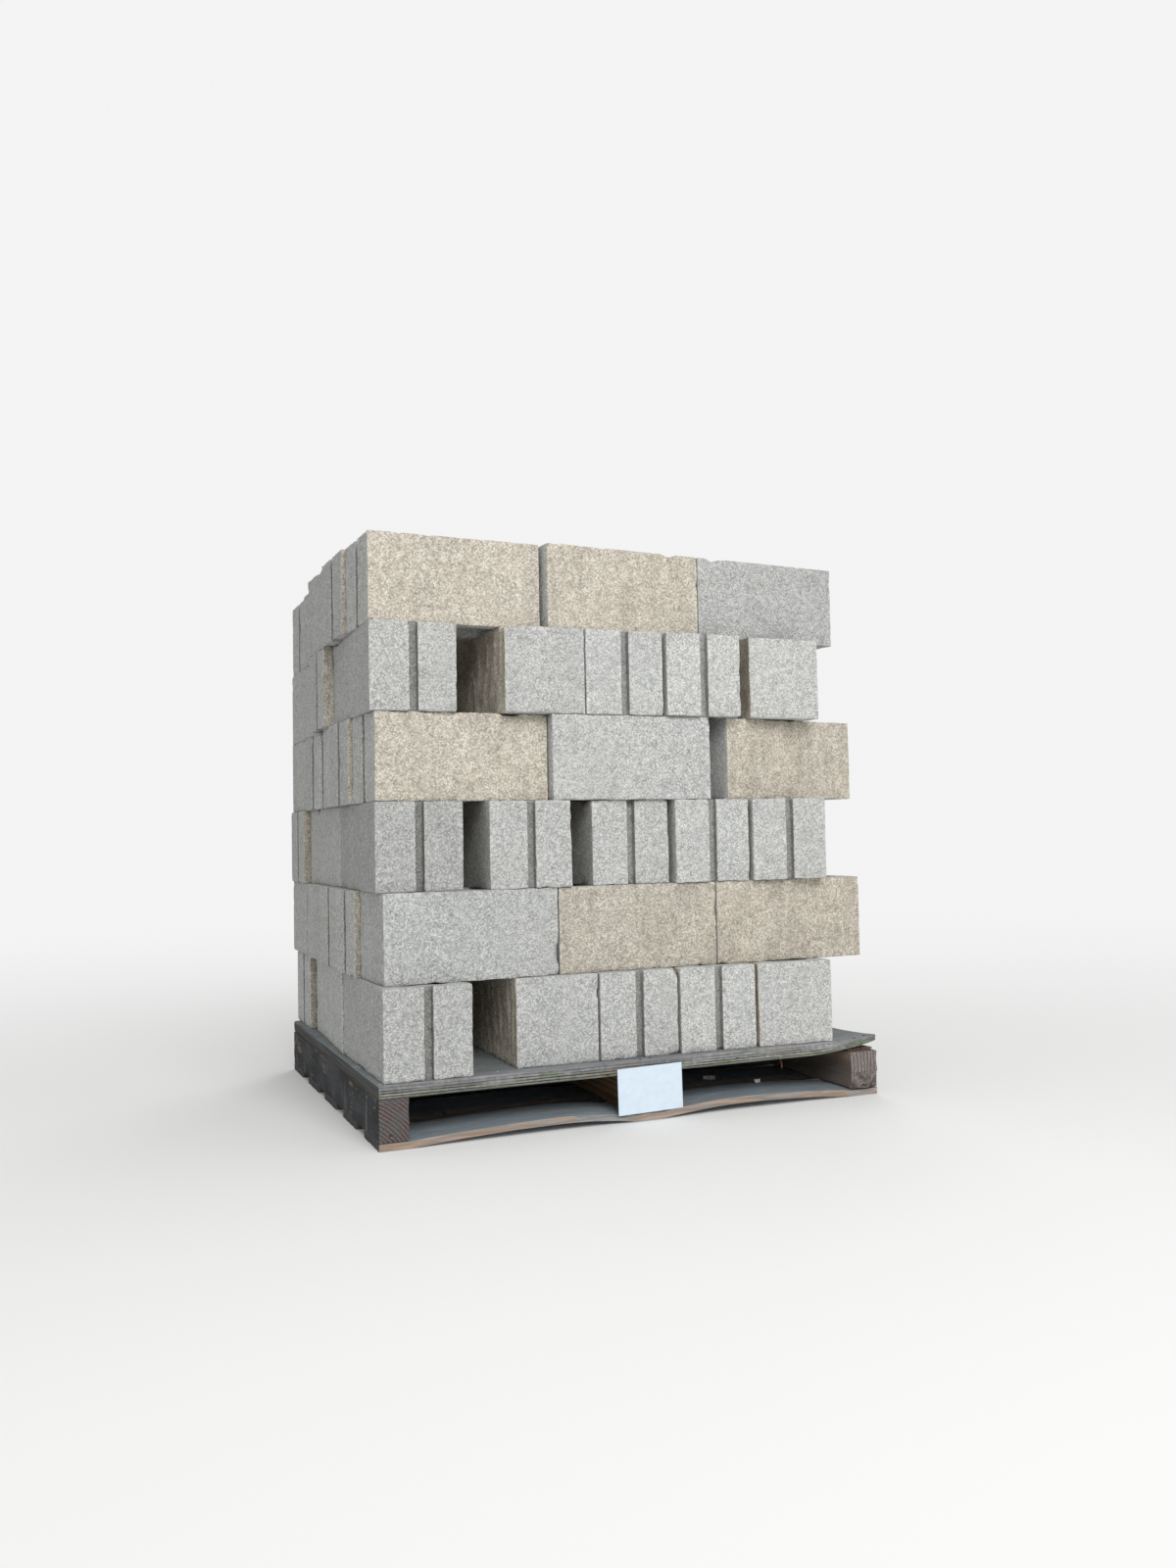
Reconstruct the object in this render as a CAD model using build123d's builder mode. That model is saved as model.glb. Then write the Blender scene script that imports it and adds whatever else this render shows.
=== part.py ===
from build123d import *
from collections import namedtuple
from math import cos, hypot, radians, sin, tan
import os

os.makedirs("parts", exist_ok=True)

# Concrete block: two cores, a sash groove in one end, one long face split and the other smooth
BLOCK_LENGTH = 397.0
BLOCK_WIDTH = 194.0
BLOCK_HEIGHT = 194.0
FACE_SHELL = 35.0
END_WEB = 32.0
MIDDLE_WEB = 30.0
CORE_CORNER = 28.0
BURIED_CORE_CORNER = 22.0
GROOVE_WIDTH = 18.0
GROOVE_DEPTH = 16.0
GROOVE_WALL = 25.0

# Gap that a block keeps from the row in front of it
ROW_GAP = 2.0
COURSES = 6

# Pallet: a plywood deck on three stringers, with five boards underneath
PALLET_WIDTH = 1219.0
PALLET_DEPTH = 1016.0
DECK_THICKNESS = 28.6
STRINGER_WIDTH = 64.0
STRINGER_HEIGHT = 89.0
ROUGH_STRINGER_WIDTH = 76.0
ROUGH_STRINGER_PROUD = 3.0
EASED_EDGE = 2.0
BOARD_THICKNESS = 15.9
BOARD_WIDTH = 140.0
BOARD_COUNT = 5
FRONT_BOARD_BOW = 14.0
INNER_BOARD_BOW = 6.0
# Where the bow is highest, as a share of the span between two stringers
LEFT_CREST = 0.66
RIGHT_CREST = 0.4

# The deck's front right corner, worn thin from below and curled up
WORN_LENGTH = 190.0
CURL_LENGTH = 86.0
CURL_DEPTH = 420.0
CURL_RISE = 12.5
CURL_TIP = 8.0

# Front left corner of the load, from the origin in the middle of the footprint on the floor,
# and how far the pallet stands out from under it
LOAD_LEFT = -599.0
LOAD_FRONT = -508.0
LEFT_LEDGE = 25.0
FRONT_LEDGE = 55.0

# Sizes that follow from the ones above
PALLET_LEFT = LOAD_LEFT - LEFT_LEDGE
PALLET_FRONT = LOAD_FRONT - FRONT_LEDGE
CORE_LENGTH = (BLOCK_LENGTH - 2 * END_WEB - MIDDLE_WEB) / 2
CORE_WIDTH = BLOCK_WIDTH - 2 * FACE_SHELL
CORE_OFFSET = (CORE_LENGTH + MIDDLE_WEB) / 2
PALLET_RIGHT = PALLET_LEFT + PALLET_WIDTH
STRINGER_TOP = BOARD_THICKNESS + STRINGER_HEIGHT
DECK_TOP = STRINGER_TOP + DECK_THICKNESS
LEFT_STRINGER_X = PALLET_LEFT
MIDDLE_STRINGER_X = PALLET_LEFT + (PALLET_WIDTH - STRINGER_WIDTH) / 2
ROUGH_STRINGER_X = PALLET_RIGHT - ROUGH_STRINGER_WIDTH

# Which face of a block looks to the front, as the block's turn about the vertical
SPLIT = 0
GROOVED = 90
SMOOTH = 180
PLAIN = -90

Laid = namedtuple("Laid", "x y turn facing")


def along_front(facing):
    """A block's size along the row: its length for a stretcher, its width for a header."""
    return BLOCK_LENGTH if facing in (SPLIT, SMOOTH) else BLOCK_WIDTH


def into_depth(facing):
    """A block's size from front to back."""
    return BLOCK_WIDTH if facing in (SPLIT, SMOOTH) else BLOCK_LENGTH


def point_on(block, right, back):
    """A point of a laid block, from its front left corner."""
    turn = radians(block.turn)
    x = block.x + right * cos(turn) - back * sin(turn)
    y = block.y + right * sin(turn) + back * cos(turn)
    return x, y


def back_edges(row):
    """The back edge of every block of a row, as pairs of corners."""
    edges = []
    for block in row:
        deep = into_depth(block.facing)
        edges.append((point_on(block, 0, deep), point_on(block, along_front(block.facing), deep)))
    return edges


def clear_front(x, turn, facing, edges):
    """How far forward a block can be pushed against the row in front of it."""
    slope = tan(radians(turn))
    end = x + along_front(facing) * cos(radians(turn))
    fronts = []
    for (x0, y0), (x1, y1) in edges:
        first = max(x, x0)
        last = min(end, x1)
        if first < last:
            for at in (first, last):
                y = y0 + (y1 - y0) * (at - x0) / (x1 - x0)
                fronts.append(y - (at - x) * slope)
    return max(fronts) + ROW_GAP / cos(radians(turn))


def front_row(left, blocks):
    """The row in front. Each block is its gap from the one before, setback, turn and facing."""
    row = []
    x = left
    for gap, setback, turn, facing in blocks:
        x += gap
        row.append(Laid(x, setback, turn, facing))
        x += along_front(facing) * cos(radians(turn))
    return row


def row_behind(left, row, blocks, space=0.0):
    """A row pushed against the one in front. Each block is its gap, turn and facing."""
    edges = back_edges(row)
    laid = []
    x = left
    for gap, turn, facing in blocks:
        x += gap
        laid.append(Laid(x, clear_front(x, turn, facing, edges) + space, turn, facing))
        x += along_front(facing) * cos(radians(turn))
    return laid


def places(rows, level):
    """Where the middle of each block's underside goes, and how it is turned."""
    spots = []
    for row in rows:
        for block in row:
            x, y = point_on(block, along_front(block.facing) / 2, into_depth(block.facing) / 2)
            position = (LOAD_LEFT + x, LOAD_FRONT + y, level)
            spots.append(Location(position, (0, 0, block.turn + block.facing)))
    return spots


# First course: headers at the front, headers behind them and stretchers at the back
first = [front_row(-12, [(0, -48, -0.1, GROOVED), (106, -13, -0.9, PLAIN), (4, -19, -0.6, GROOVED),
                         (4, -24, -2.3, GROOVED), (4, -33, -4.5, PLAIN)])]
first.append(row_behind(-13, first[-1], [(0, -2.2, GROOVED), (26, -1.6, GROOVED), (44, -1.2, PLAIN),
                                         (30, -1.5, GROOVED), (52, -1.8, PLAIN)]))
first.append(row_behind(-9, first[-1], [(0, 0.2, SPLIT), (4, -0.3, SMOOTH), (6, -0.4, SPLIT)]))

# Second course: five rows of stretchers
second = [front_row(0, [(0, -11, 1.8, SMOOTH), (4, 4, 0.5, SPLIT), (2, 3, 0.0, SPLIT)])]
second.append(row_behind(-18, second[-1], [(0, 1.6, SPLIT), (6, 0.4, SPLIT), (3, 0.2, SMOOTH)]))
second.append(row_behind(-17, second[-1], [(0, 1.4, SPLIT), (5, 0.5, SMOOTH), (4, 0.0, SPLIT)]))
second.append(row_behind(-13, second[-1], [(0, 1.2, SMOOTH), (9, 0.3, SPLIT), (3, -0.2, SPLIT)]))
second.append(row_behind(-12, second[-1], [(0, 0.6, SMOOTH), (4, 0.8, SPLIT), (8, 0.3, SMOOTH)], 34))

# Third course, as the first
third = [front_row(-12, [(0, 6, -1.2, GROOVED), (57, -3, -0.1, GROOVED), (55, 14, -0.1, GROOVED),
                         (12, 2, -1.0, GROOVED), (5, -10, -5.2, GROOVED)])]
third.append(row_behind(-4, third[-1], [(0, -0.4, GROOVED), (30, -0.2, GROOVED), (46, 0.3, PLAIN),
                                        (24, -0.8, GROOVED), (34, -1.2, PLAIN)]))
third.append(row_behind(-19, third[-1], [(0, 0.4, SPLIT), (5, 0.1, SPLIT), (8, -0.5, SMOOTH)]))

# Fourth course, as the second
fourth = [front_row(-7, [(0, 17, 1.9, SPLIT), (2, 4, -0.3, SMOOTH), (56, 17, 9.7, SPLIT)])]
fourth.append(row_behind(-22, fourth[-1], [(0, 1.8, SPLIT), (7, 0.6, SMOOTH), (36, 7.6, SPLIT)]))
fourth.append(row_behind(-22, fourth[-1], [(0, 1.5, SPLIT), (6, 1.2, SPLIT), (26, 5.6, SMOOTH)]))
fourth.append(row_behind(-10, fourth[-1], [(0, 1.2, SPLIT), (5, 1.6, SMOOTH), (16, 3.8, SPLIT)]))
fourth.append(row_behind(-9, fourth[-1], [(0, 0.9, SMOOTH), (8, 1.4, SPLIT), (8, 2.4, SPLIT)], 14))

# Fifth course: headers at the front, a row of stretchers and headers at the back
fifth = [front_row(-18, [(0, 15, -0.7, GROOVED), (102, -3, 1.2, PLAIN), (2, -2, -0.4, GROOVED),
                         (6, -10, -1.1, GROOVED), (31, 3, -0.4, PLAIN)])]
fifth.append(row_behind(-38, fifth[-1], [(0, -0.8, SPLIT), (5, 0.4, SMOOTH), (7, -0.3, SPLIT)]))
fifth.append(row_behind(-10, fifth[-1], [(0, 0.4, GROOVED), (38, -0.6, PLAIN), (46, 0.2, GROOVED),
                                         (22, -0.3, GROOVED), (40, 0.5, PLAIN)]))

# Sixth course, as the second
sixth = [front_row(-16, [(0, 25, 2.1, SPLIT), (10, 13, 4.3, SPLIT), (2, 44, 4.4, SMOOTH)])]
sixth.append(row_behind(-32, sixth[-1], [(0, 2.0, SPLIT), (12, 3.6, SMOOTH), (4, 3.8, SPLIT)]))
sixth.append(row_behind(-31, sixth[-1], [(0, 1.8, SMOOTH), (10, 3.0, SPLIT), (4, 3.1, SPLIT)]))
sixth.append(row_behind(-8, sixth[-1], [(0, 1.5, SPLIT), (8, 2.2, SPLIT), (4, 2.3, SMOOTH)]))
sixth.append(row_behind(-6, sixth[-1], [(0, 1.2, SPLIT), (6, 1.4, SMOOTH), (3, 1.5, SPLIT)]))

# The block as the top course shows it, its cores rounded and its end web bulged round the groove
with BuildPart() as block:
    with BuildSketch() as outline:
        Rectangle(BLOCK_LENGTH, BLOCK_WIDTH)
        with Locations((-BLOCK_LENGTH / 2, 0)):
            Rectangle(2 * GROOVE_DEPTH, GROOVE_WIDTH, mode=Mode.SUBTRACT)
    extrude(amount=BLOCK_HEIGHT)
    with BuildSketch() as cores:
        with Locations((-CORE_OFFSET, 0), (CORE_OFFSET, 0)):
            RectangleRounded(CORE_LENGTH, CORE_WIDTH, CORE_CORNER)
        with Locations((-BLOCK_LENGTH / 2, 0)):
            Circle(GROOVE_DEPTH + GROOVE_WALL, mode=Mode.SUBTRACT)
    extrude(amount=BLOCK_HEIGHT, mode=Mode.SUBTRACT)

# The block of the courses below, whose cores nothing shows: plainer corners, no bulge
with BuildPart() as buried_block:
    with BuildSketch() as buried_outline:
        Rectangle(BLOCK_LENGTH, BLOCK_WIDTH)
        with Locations((-BLOCK_LENGTH / 2, 0)):
            Rectangle(2 * GROOVE_DEPTH, GROOVE_WIDTH, mode=Mode.SUBTRACT)
        with BuildSketch(mode=Mode.SUBTRACT) as buried_cores:
            with Locations((-CORE_OFFSET, 0), (CORE_OFFSET, 0)):
                Rectangle(CORE_LENGTH, CORE_WIDTH)
            chamfer(buried_cores.vertices(), BURIED_CORE_CORNER)
    extrude(amount=BLOCK_HEIGHT)

for number, rows in enumerate((first, second, third, fourth, fifth, sixth), start=1):
    level = DECK_TOP + (number - 1) * BLOCK_HEIGHT
    unit = block if number == COURSES else buried_block
    with BuildPart() as course:
        with Locations(*places(rows, level)):
            add(unit.part)
    course.part.label = f"course_{number}"
    export_step(course.part, f"parts/course_{number}.step")

# Deck: a sheet of plywood whose front right corner is worn thin from below and curled up about
# a slanted fold, from the front edge to the right one. Its section is drawn across that fold,
# with the corner a little inside the section's end, and the sheet is then cut to the outline.
worn_x = PALLET_RIGHT - WORN_LENGTH
fold_to_corner = WORN_LENGTH * CURL_DEPTH / hypot(WORN_LENGTH, CURL_DEPTH)
fold_to_curl = fold_to_corner * (1 - CURL_LENGTH / WORN_LENGTH)
section_end = fold_to_corner + DECK_THICKNESS / 2
sheet_reach = hypot(PALLET_WIDTH, PALLET_DEPTH)
tip_top = DECK_TOP + CURL_RISE
tip_under = tip_top - CURL_TIP
across_fold = Plane(
    origin=(worn_x, PALLET_FRONT, 0),
    x_dir=(CURL_DEPTH, -WORN_LENGTH, 0),
    z_dir=(-WORN_LENGTH, -CURL_DEPTH, 0),
)
with BuildPart() as deck:
    with BuildSketch(across_fold) as sheet_section:
        with BuildLine():
            Polyline(
                (0, STRINGER_TOP), (-sheet_reach, STRINGER_TOP),
                (-sheet_reach, DECK_TOP), (fold_to_curl, DECK_TOP),
            )
            TangentArc((fold_to_curl, DECK_TOP), (section_end, tip_top), tangent=(1, 0))
            Line((section_end, tip_top), (section_end, tip_under))
            TangentArc((0, STRINGER_TOP), (section_end, tip_under), tangent=(1, 0))
        make_face()
    extrude(amount=sheet_reach, both=True)
    with BuildSketch(Plane.XY.offset(STRINGER_TOP)) as outline:
        with Locations(((PALLET_LEFT + PALLET_RIGHT) / 2, PALLET_FRONT + PALLET_DEPTH / 2)):
            Rectangle(PALLET_WIDTH, PALLET_DEPTH)
    extrude(amount=DECK_THICKNESS + CURL_RISE, mode=Mode.INTERSECT)
deck.part.label = "deck"
export_step(deck.part, "parts/deck.step")

# Stringers: they run from front to back, between the bottom boards and the deck
stringers = {
    "stringer_left": (LEFT_STRINGER_X, STRINGER_WIDTH, 0.0),
    "stringer_middle": (MIDDLE_STRINGER_X, STRINGER_WIDTH, 0.0),
    "stringer_right": (ROUGH_STRINGER_X, ROUGH_STRINGER_WIDTH, ROUGH_STRINGER_PROUD),
}
for name, (left, wide, proud) in stringers.items():
    with BuildPart() as stringer:
        with BuildSketch(Plane.XZ.offset(-PALLET_FRONT + proud)) as end_grain:
            with Locations((left + wide / 2, BOARD_THICKNESS + STRINGER_HEIGHT / 2)):
                Rectangle(wide, STRINGER_HEIGHT)
            chamfer(end_grain.vertices(), EASED_EDGE)
        extrude(amount=-(PALLET_DEPTH + proud))
    stringer.part.label = name
    export_step(stringer.part, f"parts/{name}.step")


def bowed_board(front, bow):
    """A bottom board, flat under each stringer and bowed up between them."""
    left_span = (LEFT_STRINGER_X + STRINGER_WIDTH, MIDDLE_STRINGER_X)
    right_span = (MIDDLE_STRINGER_X + STRINGER_WIDTH, ROUGH_STRINGER_X)
    left_crest = left_span[0] + LEFT_CREST * (left_span[1] - left_span[0])
    right_crest = right_span[0] + RIGHT_CREST * (right_span[1] - right_span[0])
    with BuildPart() as board:
        with BuildSketch(Plane.XZ.offset(-front)):
            with BuildLine():
                for z in (0, BOARD_THICKNESS):
                    Line((PALLET_LEFT, z), (left_span[0], z))
                    TangentArc((left_crest, z + bow), (left_span[0], z), tangent=(-1, 0))
                    TangentArc((left_crest, z + bow), (left_span[1], z), tangent=(1, 0))
                    Line((left_span[1], z), (right_span[0], z))
                    TangentArc((right_crest, z + bow), (right_span[0], z), tangent=(-1, 0))
                    TangentArc((right_crest, z + bow), (right_span[1], z), tangent=(1, 0))
                    Line((right_span[1], z), (PALLET_RIGHT, z))
                for x in (PALLET_LEFT, PALLET_RIGHT):
                    Line((x, 0), (x, BOARD_THICKNESS))
            make_face()
        extrude(amount=-BOARD_WIDTH)
    return board.part


board_pitch = (PALLET_DEPTH - BOARD_WIDTH) / (BOARD_COUNT - 1)
for number in range(BOARD_COUNT):
    bow = FRONT_BOARD_BOW if number == 0 else INNER_BOARD_BOW
    bottom_board = bowed_board(PALLET_FRONT + number * board_pitch, bow)
    bottom_board.label = f"bottom_board_{number + 1}"
    export_step(bottom_board, f"parts/bottom_board_{number + 1}.step")
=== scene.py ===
from collections import namedtuple
import math
import random

import bmesh
import bpy
import numpy as np
from mathutils import Matrix, Vector, geometry, noise
from mathutils.bvhtree import BVHTree


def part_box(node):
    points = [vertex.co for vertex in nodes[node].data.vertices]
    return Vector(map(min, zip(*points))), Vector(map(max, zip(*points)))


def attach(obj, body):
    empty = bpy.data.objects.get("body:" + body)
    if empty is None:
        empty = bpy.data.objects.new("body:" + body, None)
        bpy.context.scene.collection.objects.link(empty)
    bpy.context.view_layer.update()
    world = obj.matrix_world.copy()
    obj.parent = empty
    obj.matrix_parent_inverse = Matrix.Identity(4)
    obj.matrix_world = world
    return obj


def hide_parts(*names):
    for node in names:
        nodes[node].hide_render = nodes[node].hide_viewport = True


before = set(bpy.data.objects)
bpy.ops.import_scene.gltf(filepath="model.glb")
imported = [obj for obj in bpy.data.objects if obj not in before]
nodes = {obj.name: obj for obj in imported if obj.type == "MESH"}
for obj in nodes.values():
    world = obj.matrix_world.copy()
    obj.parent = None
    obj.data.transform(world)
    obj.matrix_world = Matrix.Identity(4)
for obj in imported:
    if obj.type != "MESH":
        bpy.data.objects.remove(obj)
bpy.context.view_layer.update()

COURSES = [f"course_{number}" for number in range(1, 7)]
BOARDS = [f"bottom_board_{number}" for number in range(1, 6)]

# The camera, at the photograph's viewing angle, with its whole frame of 1200 x 1600
CAMERA_PLACE = Vector((-1.2067, -3.0674, 0.6365))
CAMERA_YAW = math.radians(22.910)
CAMERA_PITCH = math.radians(2.359)
CAMERA_ROLL = math.radians(-1.098)
SENSOR = 36.0
LENS = 28.348

# The soft lamps: where each hangs and its power, how wide they are and where they point
LAMPS = [("key", (-0.6, -4.4, 3.5), 171.0), ("fill", (2.4, 4.0, 3.4), 70.0)]
LAMP_WIDTH = 3.0
LAMP_AIM = Vector((0.0, 0.0, 0.6))

# The world's light on the object, the background's brightness, the floor, and how it fades: from the
# first to the second share of its distance in that distance plus the one below
WORLD_LIGHT = 0.47
BACKGROUND = 0.90
FLOOR_REACH = 40.0
FLOOR_COLOUR = (0.88, 0.88, 0.87)
FADE = (0.15, 0.75)
FADE_DISTANCE = 2.5

# The block, with its split face to -y and the groove in its end at -x
LENGTH = 0.397
WIDTH = 0.194
HEIGHT = 0.194
FACE_SHELL = 0.035
END_WEB = 0.032
MIDDLE_WEB = 0.030
CORE_CORNER = 0.028
GROOVE_WIDTH = 0.018
GROOVE_DEPTH = 0.016
GROOVE_WALL = 0.025
EDGE = 0.0014

# The split face: how deep it lies on average, and its waves, ribs, lumps, grain and broken rim
SPLIT_DEPTH = 0.0030
WAVES = 0.0026
RIBS = 0.0042
LUMPS = 0.0011
GRAIN = 0.0007
RIM = 0.0008
STRETCHER_RELIEF = 0.85
HEADER_RELIEF = 1.25

# What is lost from a block's edges and walls: small chips, crumbling at its beds, and a few large chips
SMALL_CHIPS = 0.0045
CRUMBLING = 0.0016
LARGE_CHIPS = 0.03
WALL_WAVES = 0.0003

# How pale and how warm each block of the front rows is, from the left: the paleness is partly each
# block's own tone and partly painted light, paler towards the right in most rows
FRONT_LOOKS = {
    "course_1": [(0.90, 0.1), (0.97, 0.1), (1.0, 0.3), (1.08, 0.3), (1.04, 0.6)],
    "course_2": [(0.93, 0.1), (0.94, 0.2), (0.98, 0.9)],
    "course_3": [(0.81, 0.1), (0.95, 0.4), (0.98, 0.5), (1.02, 0.4), (1.0, 0.5)],
    "course_4": [(1.01, 0.4), (0.99, 0.3), (1.02, 0.8)],
    "course_5": [(0.91, 0.5), (0.93, 0.6), (1.0, 0.5), (1.03, 0.8), (1.03, 0.8)],
    "course_6": [(1.02, 0.7), (1.0, 0.9), (0.88, 0.5)],
}

# Painted shade and light beside each block: the groove painted darker, and the split faces painted
# lighter in two slots and darker in a third, by the block's number from the left, counted from 0, and
# darker behind the front row
GROOVE_PAINTED_SHADE = 0.60
SPLIT_PAINTED_LIGHT_AND_SHADE = {("course_1", 1): 1.2, ("course_5", 1): 1.2, ("course_5", 4): 0.65}
REAR_SPLIT_PAINTED_SHADE = 0.88

# The knocked corner in the first course: its place, the way it was knocked, how deep and how pale
CHIPPED_CORNER = Vector((0.081, -0.529, 0.3275))
CHIPPED_WAY = Vector((0.45, -0.62, 0.64)).normalized()
CHIPPED_DEPTH = 0.014
CHIPPED_TONE = 1.25

# The deck: its plies, where its right end starts to curl and how much it swells there, where its edge
# is mossy, and the rounding, the glue grooves and the chips of its edge
PLIES = 5
CURL_START = 0.50
SWELLING = 0.006
MOSS_X = 0.405
DECK_ROUNDING = 0.0022
GLUE_GROOVE = 0.0009
DECK_CHIPS = 0.004

# The slivers torn from the front board: from where to where along x, and how deep
SLIVERS = [(-0.20, -0.03, 0.009), (0.50, 0.597, 0.005)]

# The card's width, thickness and height, and the place of its middle along x and z
CARD_SIZE = (0.158, 0.0004, 0.102)
CARD_MIDDLE = (-0.012, 0.070)

# The nails' heads, from below to above, and the bent nail under the deck's front edge
HEAD_RISES = (-0.0008, 0.0004, 0.0009)
HEAD_RADII = (0.0042, 0.0042, 0.0030)
NAIL_POINTS = [(0.341, -0.538, 0.002), (0.341, -0.538, -0.009), (0.343, -0.539, -0.015),
               (0.342, -0.541, -0.021), (0.339, -0.543, -0.026)]
NAIL_RADII = (0.0017, 0.0017, 0.0017, 0.0016, 0.0004)

# The scraps of paper: the board each lies on, its place, its size and its turn, and how they are tilted
SCRAPS = [("scrap_long", BOARDS[1], (0.268, -0.318), (0.030, 0.010), -30.0),
          ("scrap_short", BOARDS[0], (0.3355, -0.436), (0.015, 0.009), -6.0)]
SCRAP_TILT = 55.0

# The crumbs of concrete that are tried; those under a block are left out
CRUMBS = 260

# A point of a block's outline: its place, the way into the concrete, whether it is on the split
# face, whether it moves with that face, the way that a chip of its corner goes, and how pale it is
Spot = namedtuple("Spot", "place inward split broken chip tone")


class Graph:
    """The node tree of a material or a world, built by calls that return the sockets to link."""

    def __init__(self, name, kind=bpy.data.materials):
        self.owner = kind.new(name)
        self.owner.use_nodes = True
        self.tree = self.owner.node_tree
        self.tree.nodes.clear()
        self.place = self.put("TexCoord").outputs["Object"]

    def put(self, kind, inputs=None, **settings):
        node = self.tree.nodes.new("ShaderNode" + kind)
        for key, value in settings.items():
            setattr(node, key, value)
        for key, value in (inputs or {}).items():
            if isinstance(value, bpy.types.NodeSocket):
                self.tree.links.new(value, node.inputs[key])
            else:
                node.inputs[key].default_value = value
        return node

    def noise(self, scale, detail=2.0, rough=0.5, vector=None):
        inputs = {"Vector": vector or self.place, "Scale": scale, "Detail": detail, "Roughness": rough}
        return self.put("TexNoise", inputs).outputs["Fac"]

    def streaks(self, scale, detail=3.0, rough=0.6, shift=(0, 0, 0)):
        """Noise drawn out along one axis or two."""
        inputs = {"Vector": self.place, "Scale": scale, "Location": shift}
        return self.noise(1.0, detail, rough, self.put("Mapping", inputs).outputs["Vector"])

    def cells(self, scale, output="Color"):
        inputs = {"Vector": self.place, "Scale": scale}
        return self.put("TexVoronoi", inputs).outputs[output]

    def math(self, operation, first, second=0.5, third=0.0):
        inputs = {0: first, 1: second, 2: third}
        return self.put("Math", inputs, operation=operation).outputs[0]

    def product(self, first, *others):
        for other in others:
            first = self.math("MULTIPLY", first, other)
        return first

    def between(self, value, low, high, to_low=0.0, to_high=1.0):
        """value as it goes smoothly from to_low at low to to_high at high."""
        inputs = {"Value": value, 1: low, 2: high, 3: to_low, 4: to_high}
        node = self.put("MapRange", inputs, interpolation_type="SMOOTHSTEP")
        return node.outputs["Result"]

    def mix(self, amount, first, second, blend="MIX"):
        first = first if isinstance(first, bpy.types.NodeSocket) else (*first, 1.0)
        second = second if isinstance(second, bpy.types.NodeSocket) else (*second, 1.0)
        inputs = {0: amount, 6: first, 7: second}
        node = self.put("Mix", inputs, data_type="RGBA", blend_type=blend)
        return node.outputs[2]

    def scaled(self, colour, factor):
        """A colour times a number from another node."""
        grey = self.put("CombineColor", {0: factor, 1: factor, 2: factor}).outputs[0]
        return self.mix(1.0, colour, grey, "MULTIPLY")

    def attribute(self, name):
        return self.put("Attribute", attribute_name=name).outputs["Fac"]

    def facing(self, axis, low=0.6, high=0.85):
        """1 where the surface faces along an axis, either way."""
        return self.between(self.math("ABSOLUTE", self.normal()[axis]), low, high)

    def facing_left(self):
        """1 where the surface faces -x."""
        return self.between(self.normal()["X"], -0.85, -0.6, 1.0, 0.0)

    def normal(self):
        return self.axes(self.put("TexCoord").outputs["Normal"])

    def axes(self, vector=None):
        return self.put("SeparateXYZ", {0: vector or self.place}).outputs

    def bump(self, height, distance, under=None):
        inputs = {"Height": height, "Distance": distance, "Strength": 1.0}
        if under:
            inputs["Normal"] = under
        return self.put("Bump", inputs).outputs["Normal"]

    def finish(self, colour, roughness, normal=None, metallic=0.0):
        inputs = {"Base Color": colour, "Roughness": roughness, "Specular IOR Level": 0.3,
                  "Metallic": metallic}
        if normal:
            inputs["Normal"] = normal
        shader = self.put("BsdfPrincipled", inputs)
        self.put("OutputMaterial", {"Surface": shader.outputs[0]})
        return self.owner


def darker(colour, share):
    return tuple(share * part for part in colour)


def concrete(name, cool, warm, pale, dark, grain_size, relief, contrast=0.28):
    """Dry-cast concrete: grains of sand and stone, each with its own tone, and open pores."""
    g = Graph(name)
    scale = 1.0 / grain_size
    pick = g.axes(g.cells(scale))
    patches = g.between(g.noise(5.0, 3.0), 0.3, 0.7)
    warmth = g.math("MULTIPLY_ADD", g.attribute("hue"), 0.45, g.product(patches, 0.3))
    warmth = g.math("MULTIPLY_ADD", pick[2], 0.25, warmth)
    ground = g.mix(warmth, cool, warm)
    ground = g.scaled(ground, g.between(g.noise(13.0, 4.0, 0.6), 0.3, 0.7, 0.97, 1.03))
    ground = g.scaled(ground, g.math("MULTIPLY_ADD", pick[0], 2 * contrast, 1.0 - contrast))
    sand = g.noise(1.9 * scale, 2.0, 0.6)
    ground = g.scaled(ground, g.between(sand, 0.3, 0.7, 1.0 - 0.6 * contrast, 1.0 + 0.6 * contrast))
    stones = g.mix(g.between(pick[1], 0.85, 0.90, 0.0, 0.8), ground, pale)
    apart = g.cells(scale, "Distance")
    clusters = g.between(g.noise(70.0, 3.0), 0.30, 0.74)
    pores = g.product(g.between(apart, 0.42, 0.75), clusters, 0.62)
    stones = g.mix(pores, stones, dark)
    # The tone attribute holds each block's own tone and its paler knocked corner, and also painted
    # light and shade: a darker groove, lighter or darker split faces, and front blocks partly toned by
    # painted light.
    coloured = g.scaled(stones, g.attribute("tone"))
    # Painted shade, partly dirt: the split faces' hollows are darker and their crests a little paler.
    coloured = g.scaled(coloured, g.between(g.attribute("hollow"), -0.6, 0.9, 1.04, 0.88))
    up = g.between(g.normal()["Z"], 0.5, 0.9)
    dust = g.product(up, g.between(g.noise(30.0, 3.0), 0.3, 0.65), 0.5)
    coloured = g.mix(dust, coloured, (0.47, 0.47, 0.455))
    grain = g.bump(sand, 0.0011 * relief)
    rounded = g.bump(apart, -0.0008 * relief, grain)
    return g.finish(coloured, 0.93, rounded)


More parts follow.
